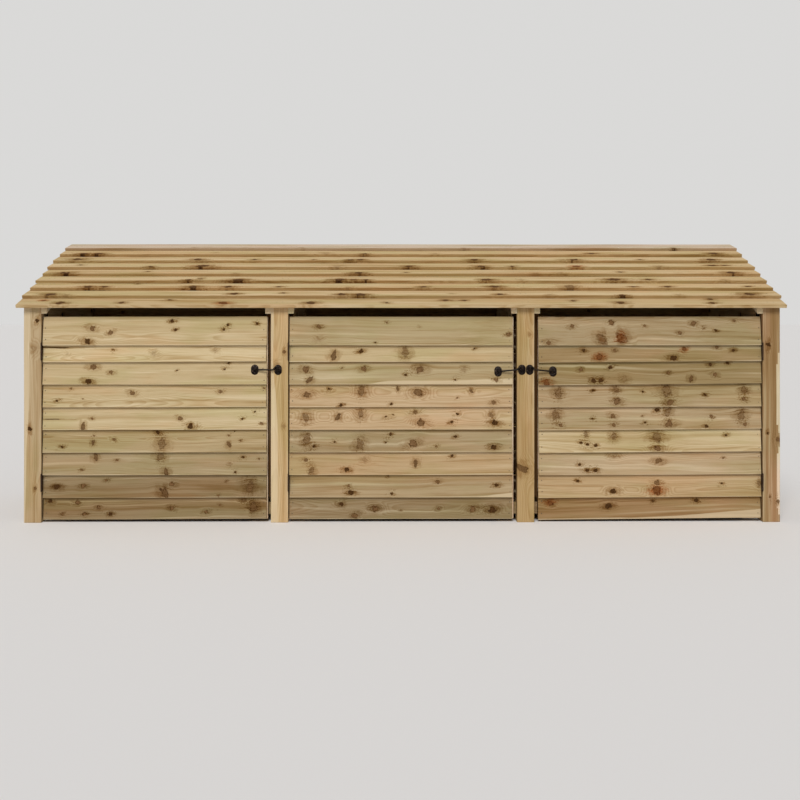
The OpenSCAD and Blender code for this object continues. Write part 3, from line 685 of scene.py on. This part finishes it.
# buttPaintedShade darkens each door board's downward-facing butt as painted shade under the lap
boardLook = {"ease": 0.9, "wave": 0.5, "station": 24, "rows": 5, "buttPaintedShade": 0.25,
             "sap": (-1, [(0, 2), (999, 2)])}
boardEnds = {
    "left": {"leftTrim": (0, 2), "rightTrim": (-2, 2)}, "middle": {"leftTrim": (0, 2), "rightTrim": (-2, 2)},
    "right": {"leftTrim": (-2, 2), "rightTrim": (-2, 0)},
}
nail = {"radius": 2.4, "height": 0.7, "endGap": 13, "ups": (22, 74), "aside": (-3, 3), "upDown": (-5, 5)}


def addNail(nails, plank, u, v):
    turn = plank.frontNormal.to_track_quat("Z", "Y").to_matrix().to_4x4()
    at = Matrix.Translation(plank.onFront(u, v) + plank.frontNormal * 0.1 * nail["height"] * mm) @ turn
    bmesh.ops.create_cone(nails, cap_ends=True, segments=10, radius1=nail["radius"] * mm,
                          radius2=0.7 * nail["radius"] * mm, depth=nail["height"] * mm, matrix=at)


def nailPiece(nails, name, body):
    return pieceFrom([nails], name, body, nailSteel, "screw_steel")


def skewBoards(parts, lines):  # turns each board a little in the door's plane
    for part, line in zip(parts, lines):
        xs = [vert.co.x for vert in part.verts]
        middle = (min(xs) + max(xs)) / 2
        slope = line * mm / (max(xs) - min(xs))
        for vert in part.verts:
            vert.co.z += (vert.co.x - middle) * slope


def buildDoorBoards(bay):
    node = f"door_{bay}_boards"
    body = f"door_{bay}"
    solids = solidsOf(node)
    solids.sort(key=lambda solid: min(vert.co.z for vert in solid.verts))
    rng = random.Random(node)
    nails = bmesh.new()
    for solid, (tone, knots, *sap) in zip(solids, doorBoards[bay]):
        look = {**boardLook, **boardEnds[bay], "tone": tone, "knots": knots}
        if sap:
            look["sap"] = sap[0]
        plank = dressSolid(solid, look, rng)
        for u in (nail["endGap"] * mm, plank.size[0] - nail["endGap"] * mm):
            for up in nail["ups"]:
                addNail(nails, plank, u + rng.uniform(*nail["aside"]) * mm,
                        (up + rng.uniform(*nail["upDown"])) * mm)
    skewBoards(solids, doorLines[bay])
    pieceFrom(solids, node + "_dressed", body, boardWood, "door_board_timber", node)
    nailPiece(nails, f"door_{bay}_nails", body)


# Roof boards, from the eaves up, each with its own knots in mm from the left-hand end and up from the butt

roofBoards = [
    [(100, 70, 8, "red"), (183, 30, 13), (449, 35, 9), (650, 80, 6), (892, 32, 16, "red"), (1274, 35, 14),
     (1605, 35, 7, "butt"), (1865, 75, 9), (1946, 70, 7), (2425, 65, 7), (2627, 35, 13, "butt"),
     (3025, 30, 10), (3035, 90, 9)],
    [(113, 30, 15), (190, 20, 10, "faint"), (927, 45, 13, "butt"), (1143, 60, 7), (1405, 35, 13),
     (1487, 28, 17, "butt"), (1895, 50, 8, "faint"), (2108, 35, 11), (2327, 25, 9, "faint"),
     (2649, 15, 11, "butt"), (2900, 25, 9, "faint"), (3218, 40, 19, "butt")],
    [(260, 30, 15, "butt"), (331, 28, 11), (465, 95, 5, "butt"), (731, 30, 17, "butt"), (891, 32, 13),
     (1118, 32, 8), (1430, 15, 8, "faint"), (1770, 30, 11), (2093, 35, 16), (2435, 30, 19, "whorl"),
     (2721, 30, 9), (2877, 35, 11), (3243, 40, 9)],
    [(695, 20, 10), (920, 25, 19, "butt"), (745, 55, 9, "whorl"), (1387, 28, 19, "butt"), (1449, 25, 9),
     (1510, 20, 10), (2062, 32, 15), (2225, 25, 9, "faint"), (2653, 35, 19, "butt"), (2811, 35, 11, "butt"),
     (3160, 25, 10, "faint")],
    [(105, 25, 17, "butt"), (480, 60, 5), (900, 20, 8, "faint"), (1473, 28, 16, "butt"),
     (1694, 40, 6, "butt"), (2300, 20, 9, "faint"), (2415, 25, 13, "faint"), (2702, 50, 8, "butt"),
     (3220, 35, 17)],
    [(141, 60, 7), (483, 20, 9), (728, 30, 21, "butt"), (1369, 25, 14, "faint"), (1710, 25, 13, "butt"),
     (2055, 25, 15, "butt"), (2202, 25, 9), (2508, 28, 15, "red"), (2901, 25, 14, "faint"), (3158, 50, 13),
     (3222, 55, 9)],
    [(107, 38, 17), (691, 35, 16, "butt"), (964, 35, 10), (1250, 30, 6, "butt"), (1429, 25, 11),
     (1477, 32, 12), (2025, 30, 15), (2448, 28, 9, "faint"), (2510, 30, 15, "butt"), (2832, 35, 7),
     (3175, 35, 17, "butt")],
    [(117, 22, 15, "butt"), (186, 25, 15, "butt"), (760, 55, 7, "faint"), (1301, 45, 14, "faint"),
     (1493, 20, 9), (1840, 30, 9, "faint"), (2611, 35, 11, "butt"), (3217, 35, 15, "butt")],
    [(640, 30, 6, "faint"), (1180, 20, 7, "faint"), (1990, 15, 7, "faint"), (3035, 15, 7, "butt")],
]
roofTones = ["roofEdge"] + 7 * ["roof"] + ["roofTop"]
roofLook = {"ease": 1.0, "wave": 0.9, "lift": 0.7, "streaks": 0.8, "station": 30, "rows": 5,
            "leftTrim": (-4, 4), "rightTrim": (-4, 4)}
# On the roof the butts and a band along each lower edge are darkened as painted shade of the laps
lapLook = {"buttPaintedShade": 0.85, "lip": 5}  # of every board above the first
roof = {"knotGrow": 1.15, "knotDrop": 6, "nailUp": 45, "nailIn": 25}  # the drop only above the first board


def buildRoof():
    nails = bmesh.new()
    for i, (tone, knots) in enumerate(zip(roofTones, roofBoards)):
        drop = roof["knotDrop"] if i else 0
        knots = [(x, y - drop, roof["knotGrow"] * radius, *(kind or ["butt"]))
                 for x, y, radius, *kind in knots]
        look = {**roofLook, **(lapLook if i else {}), "tone": tone, "knots": knots}
        for plank in dressNode(f"roof_board_{i + 1}", "frame", boardWood, "roof_board_timber", [look]):
            for post in range(1, 5):
                low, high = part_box(f"post_front_{post}")
                for x in (low.x + roof["nailIn"] * mm, high.x - roof["nailIn"] * mm):
                    addNail(nails, plank, x - plank.low[0], roof["nailUp"] * mm)
    nailPiece(nails, "roof_nails", "frame")


# The rest of the frame. Knots on the posts are in mm up from the ground and across the front face.

postShape = {"wave": 0.6, "ease": 2.0}
postLooks = [
    {"tone": "postPink", "sap": (-1, [(0, 6), (300, 12), (600, 24), (890, 28)]),
     "knots": [(150, 50, 6), (410, 25, 9, "dark"), (760, 45, 10, "faint"), (880, 58, 9, "dark")]},
    {"tone": "postStraw", "sap": (-1, [(0, 31), (400, 33), (505, 26), (640, 15), (700, 8), (900, 12)]),
     "knots": [(690, 25, 8, "faint"), (420, 55, 6, "faint"), (745, 58, 7)]},
    {"tone": "postOlive", "knots": [(236, 22, 13, "spike"), (820, 55, 5, "faint")]},
    # Pale strips along post 4's edge: a waney edge, its lit face painted as a highlight
    {"tone": "postBrown", "strips": [(33, 60, 67, "paintedWaneHighlight"), (60, 300, 61, "paintedWaneHighlight"), (300, 329, 68, "paintedWaneHighlight"),
                                     (390, 425, 67, "paintedWaneHighlight"), (425, 690, 59, "paintedWaneHighlight"), (690, 740, 66, "paintedWaneHighlight")],
     "knots": [(110, 30, 5), (388, 20, 6, "dark"), (775, 25, 10, "dark"), (360, 66, 10), (90, 66, 7)]},
]
hiddenKnots = [
    [(140, 30, 9), (470, 60, 7, "dark"), (690, 40, 10)], [(90, 60, 6, "dark"), (330, 35, 11), (610, 20, 8)],
    [(220, 50, 12, "dark"), (560, 45, 6), (740, 70, 8)], [(60, 25, 8), (400, 65, 9, "whorl"), (650, 35, 7)],
    [(280, 30, 7), (520, 55, 12), (800, 40, 6, "dark")],
]


def slatLooks(tone="slat", spacing=1, **more):
    return [{"tone": tone, "knots": [(x * spacing, v, r, *rest) for x, v, r, *rest in knots], **more}
            for knots in hiddenKnots]


stileTrims = {  # in mm off the stiles' outer edges, the left-hand stile first
    "left": ({}, {"highTrim": 3}), "middle": ({}, {"highTrim": 2}), "right": ({"lowTrim": 6}, {}),
}


def dressSlats(node, looks, body="frame"):
    dressNode(node, body, slatWood, "slat_timber", looks)


def buildFrame():
    for i, look in enumerate(postLooks):
        hidden = {"tone": "postOlive", "knots": [(300 + 90 * i, 30, 9), (900, 50, 7)]}
        for row, own in (("front", look), ("back", hidden)):
            dressNode(f"post_{row}_{i + 1}", "frame", postWood, "post_timber", [{**postShape, **own}])
    for side in ("side_slats_left", "side_slats_right", "partition_slats_left", "partition_slats_right"):
        # Slat ends get the end grain tone, darkened as painted shade of the gaps
        dressSlats(side, slatLooks(endTone="endGrainAndPaintedShade"))
    dressSlats("back_slats", slatLooks(spacing=4))
    # The door stops are painted dark as the shade of the latch gaps
    for node, tone in (("rafters", "light"), ("floor_bearers", "dun"), ("door_stops", "paintedGapShade")):
        dressSlats(node, [{"tone": tone}])
    for bay in bays:
        dressSlats(f"floor_slats_{bay}", slatLooks("tan"))
        # The stiles' sides are painted dark as the shade in the latch gaps
        stiles = [{"tone": "bare", "sideTone": "paintedGapShade", **trim} for trim in stileTrims[bay]]
        dressSlats(f"door_{bay}_stiles", stiles, f"door_{bay}")
        brace = {"tone": "straw", "knots": [(260, 30, 9), (700, 45, 7, "dark"), (980, 30, 10)]}
        dressSlats(f"door_{bay}_brace", [brace], f"door_{bay}")


# Metal

def buildCoating():
    # A dark coating: mottled colour, rubbed to brown where the noise is high, and small pits
    group, given, out = newGroup(
        "dark_coating", [("Base", "Color"), ("Rubbed", "Color"), ("Grain Scale", "Float")])
    at = addNode(group, "ShaderNodeTexCoord").outputs["Object"]
    coarse = speckle(group, at, given["Grain Scale"], 4.0)
    fine = speckle(group, at, calc(group, "MULTIPLY", given["Grain Scale"], 6.0), 3.0)
    colour = mix(group, given["Base"], given["Rubbed"], ramp(group, coarse, 0.50, 0.74))
    feed(group, tint(group, colour, (0.6, 0.6, 0.6), ramp(group, fine, 0.55, 0.7)), out["Color"])
    feed(group, calc(group, "MULTIPLY_ADD", coarse, 0.35, 0.25), out["Roughness"])
    feed(group, calc(group, "MULTIPLY_ADD", fine, 0.4, coarse), out["Height"])
    return group


coating = buildCoating()


def metalMaterial(name, base, rubbed, scale, metallic, relief):
    material, tree, shader = newMaterial(name)
    cover = addNode(tree, "ShaderNodeGroup", node_tree=coating)
    cover.inputs["Base"].default_value = (*base, 1)
    cover.inputs["Rubbed"].default_value = (*rubbed, 1)
    cover.inputs["Grain Scale"].default_value = scale
    tune(tree, shader, cover, relief, 0.5 * mm)
    shader.inputs["Metallic"].default_value = metallic
    shader.inputs["Specular IOR Level"].default_value = 0.2
    return material


blackIron = metalMaterial("black_iron", (0.006, 0.003, 0.002), (0.095, 0.064, 0.048), 210.0, 0.6, 1.6)
hookIron = metalMaterial("hook_iron", (0.006, 0.003, 0.001), (0.055, 0.030, 0.013), 120.0, 0.1, 0.6)
hingeSteel = metalMaterial("hinge_steel", (0.030, 0.014, 0.006), (0.075, 0.042, 0.022), 90.0, 0.1, 0.3)
screwSteel = metalMaterial("screw_steel", (0.028, 0.024, 0.024), (0.10, 0.085, 0.075), 400.0, 0.7, 0.3)
nailSteel = metalMaterial("nail_steel", (0.10, 0.075, 0.05), (0.19, 0.14, 0.09), 300.0, 0.5, 0.3)


def dressHinges():
    finishes = {"frame_screws": screwSteel}
    for bay in bays:
        finishes[f"door_{bay}_screws"] = screwSteel
        for part in ("frame_leaves", "door_leaves", "pins"):
            finishes[f"hinge_{part}_{bay}"] = hingeSteel
    for node, material in finishes.items():
        mesh = frame["nodes"][node].data
        mesh.materials.clear()
        mesh.materials.append(material)


# Cabin hooks. A plate lies in its own frame, with its back on y = 0 and its staple towards -y.

hook = {
    "width": 33, "height": 45, "wire": 3.9, "bend": 6, "leg": 9, "ringRadius": 4.5, "ringWire": 3.9,
    "reach": 97, "neckBend": 7, "neckSlope": 50, "neckRise": 12, "tipDrop": 8, "tilt": 7.04,
    "dome": ((1.0, 0.0), (1.0, 0.8), (0.975, 1.3), (0.92, 1.7), (0.89, 1.6), (0.84, 2.2), (0.7, 2.8),
             (0.45, 3.1), (0.2, 3.2)),  # each ring's share of the outline, and its height
    "arm": 7.0, "armThick": 7.4, "armTip": 3.0,
    "foot": 1.5, "pivotOut": 6, "tipOut": 9,  # in front of the plate's back
}


def edgesOf(made):
    return list({edge for vert in made["verts"] for edge in vert.link_edges})


def tube(mesh, points, diameters, upright, segments=16):
    # A round bar along points that lie in a plane whose normal is upright
    loops = []
    for i, (point, diameter) in enumerate(zip(points, diameters)):
        heading = (points[min(i + 1, len(points) - 1)] - points[max(i - 1, 0)]).normalized()
        side = upright.cross(heading).normalized()
        turn = Matrix((side, upright, heading)).transposed().to_4x4()
        made = bmesh.ops.create_circle(mesh, segments=segments, radius=diameter / 2 * mm,
                                       matrix=Matrix.Translation(point * mm) @ turn)
        loops.append(edgesOf(made))
    for first, second in zip(loops, loops[1:]):
        bmesh.ops.bridge_loops(mesh, edges=first + second)
    for loop in (loops[0], loops[-1]):
        bmesh.ops.contextual_create(mesh, geom=loop)


def smoothAll(made):
    bmesh.ops.recalc_face_normals(made, faces=made.faces)
    for face in made.faces:
        face.smooth = True


def ovalRing(mesh, share, rise):  # the plate's outline, drawn in and raised from its back
    made = bmesh.ops.create_circle(mesh, segments=40, radius=share * hook["width"] / 2 * mm,
                                   matrix=Matrix.Rotation(math.radians(90), 4, "X"))
    half = share * (hook["height"] - hook["width"]) / 2
    for vert in made["verts"]:
        vert.co.z += math.copysign(half, vert.co.z + 1e-6) * mm
        vert.co.y = -rise * mm
    return edgesOf(made)


def buildPlate(name, place, body, node):
    made = bmesh.new()
    rings = [ovalRing(made, share, rise) for share, rise in hook["dome"]]
    for outer, inner in zip(rings, rings[1:]):
        bmesh.ops.bridge_loops(made, edges=outer + inner)
    for ring in (rings[0], rings[-1]):
        bmesh.ops.contextual_create(made, geom=ring)
    legEnd, foot = Vector((0, -hook["leg"], 0)), Vector((0, -hook["foot"], 0))
    aside = hook["bend"] * Vector((1, 0, 0))
    loop = [legEnd + hook["bend"] * Vector((math.cos(t), -math.sin(t), 0))
            for t in (math.pi * i / 16 for i in range(17))]
    path = [foot + aside] + loop + [foot - aside]
    tube(made, path, [hook["wire"]] * len(path), Vector((0, 0, 1)))
    smoothAll(made)
    bmesh.ops.transform(made, matrix=place, verts=made.verts)
    return pieceFrom([made], name, body, blackIron, "black_iron", node)


def buildArm(name, pivot, side, tip, body, node):
    # From the ring on the staple's leg along the shank, over the swan neck and down to the tip
    made = bmesh.new()
    across, up = Vector((side, 0, 0)), Vector((0, 0, 1))
    slope = math.radians(hook["neckSlope"])
    bend, rise = hook["neckBend"], hook["neckRise"]
    drop = Vector((0, tip.y, tip.z))
    width = 2 * bend * math.sin(slope) + rise * math.cos(slope) + bend
    start = (hook["reach"] - width) * across + drop
    path = [hook["ringRadius"] * across + 0.06 * drop]
    path += [path[0].lerp(start, share) for share in (0.06, 0.14, 0.3, 0.5, 0.75, 0.93)]
    first = start + bend * up
    path += [first + bend * (math.sin(t) * across - math.cos(t) * up)
             for t in (slope * i / 4 for i in range(5))]
    riseEnd = path[-1] + rise * (math.cos(slope) * across + math.sin(slope) * up)
    top = riseEnd + bend * (math.sin(slope) * across - math.cos(slope) * up)
    turns = [slope + math.pi / 2 - (slope + math.pi / 2) * i / 9 for i in range(10)]
    path += [top + bend * (math.cos(t) * across + math.sin(t) * up) for t in turns]
    foot = hook["reach"] * across + drop
    path += [foot - (hook["tipDrop"] - short) * up for short in (3, 1, 0)]
    widths = [hook["arm"]] * len(path)
    widths[0:3] = [hook["ringWire"], hook["armThick"], hook["armThick"]]
    widths[-3:] = [hook["arm"] - 0.4, hook["arm"] - 1.4, hook["armTip"]]
    tube(made, path, widths, Vector((0, 1, 0)))
    ring = bmesh.ops.create_circle(made, segments=12, radius=hook["ringWire"] / 2 * mm,
                                   matrix=Matrix.Translation((hook["ringRadius"] * mm, 0, 0)))
    bmesh.ops.spin(made, geom=ring["verts"] + edgesOf(ring), cent=(0, 0, 0), axis=(0, 1, 0),
                   dvec=(0, 0, 0), angle=math.tau, steps=28, use_merge=True)
    smoothAll(made)
    bmesh.ops.translate(made, vec=pivot, verts=made.verts)
    return pieceFrom([made], name, body, hookIron, "black_iron", node)


def buildHook(bay):
    pivot = Vector(next(j for j in frame["joints"] if j["name"] == f"hook_{bay}_lift")["pos_m"])
    side = -1 if bay == "right" else 1
    low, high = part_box(f"eye_plate_{bay}")
    eye = Vector(((low.x + high.x) / 2, high.y, (low.z + high.z) / 2))
    lean = Matrix.Rotation(math.radians(-hook["tilt"]), 4, "X")
    seat = Matrix.Translation(pivot) @ lean @ Matrix.Translation(
        (-side * hook["bend"] * mm, hook["pivotOut"] * mm, 0))
    buildPlate(f"hook_plate_{bay}_dressed", seat, f"door_{bay}", f"hook_plate_{bay}")
    buildPlate(f"eye_plate_{bay}_dressed", Matrix.Translation(eye), "frame", f"eye_plate_{bay}")
    tip = Vector((0, eye.y - hook["tipOut"] * mm - pivot.y, eye.z - pivot.z)) / mm
    buildArm(f"hook_arm_{bay}_dressed", pivot, side, tip, f"hook_{bay}", f"hook_arm_{bay}")


for bay in bays:
    buildDoorBoards(bay)
print("doors done")
buildRoof()
print("roof done")
buildFrame()
print("frame done")
dressHinges()
for bay in bays:
    buildHook(bay)
print("metal done")


# Floor, light and camera

studio = {"around": 0.32, "sun": 2.27, "softness": 28, "height": 44, "turn": -8,
          "backdrop": (0.70, 0.695, 0.685), "floor": (0.82, 0.80, 0.785)}


def buildStage():
    floor = bmesh.new()
    bmesh.ops.create_grid(floor, x_segments=1, y_segments=1, size=60)
    mesh = bpy.data.meshes.new("floor")
    floor.to_mesh(mesh)
    floor.free()
    material, tree, shader = newMaterial("pale_floor")
    shader.inputs["Base Color"].default_value = (*studio["floor"], 1)
    shader.inputs["Roughness"].default_value = 0.85
    mesh.materials.append(material)
    stage = bpy.data.objects.new("floor", mesh)
    show(stage)


def lightScene():
    world = bpy.data.worlds.new("studio")
    bpy.context.scene.world = world
    world.use_nodes = True
    tree = world.node_tree
    tree.nodes.clear()
    lit = addNode(tree, "ShaderNodeBackground", {"Color": (1, 1, 1, 1), "Strength": studio["around"]})
    seen = addNode(tree, "ShaderNodeBackground", {"Color": (*studio["backdrop"], 1), "Strength": 1.0})
    rays = addNode(tree, "ShaderNodeLightPath").outputs
    shown = calc(tree, "MAXIMUM", rays["Is Camera Ray"],
                 calc(tree, "MAXIMUM", rays["Is Glossy Ray"], rays["Is Transmission Ray"]))
    both = addNode(tree, "ShaderNodeMixShader", {0: shown, 1: lit.outputs[0], 2: seen.outputs[0]})
    tree.links.new(both.outputs[0], addNode(tree, "ShaderNodeOutputWorld").inputs[0])
    lamp = bpy.data.lights.new("soft_light", "SUN")
    lamp.energy = studio["sun"]
    lamp.angle = math.radians(studio["softness"])
    holder = bpy.data.objects.new("soft_light", lamp)
    holder.rotation_euler = (math.radians(90 - studio["height"]), 0, math.radians(studio["turn"]))
    show(holder)


view = {"place": (-0.05, -5.4985, 0.9356), "turn": -0.352, "focal": 1166.15, "imageSide": 800,
        "middle": 398.4, "horizon": 308.05}


def addCamera():
    lens = bpy.data.cameras.new("camera")
    lens.sensor_width = 36.0
    lens.lens = view["focal"] / view["imageSide"] * lens.sensor_width
    lens.shift_x = (view["imageSide"] / 2 - view["middle"]) / view["imageSide"]
    lens.shift_y = (view["horizon"] - view["imageSide"] / 2) / view["imageSide"]
    lens.clip_end = 200
    camera = bpy.data.objects.new("camera", lens)
    camera.location = view["place"]
    camera.rotation_euler = (math.radians(90), 0, math.radians(view["turn"]))
    show(camera)
    bpy.context.scene.camera = camera


buildStage()
lightScene()
addCamera()
bpy.context.scene.view_settings.view_transform = "Standard"
print("stage done")
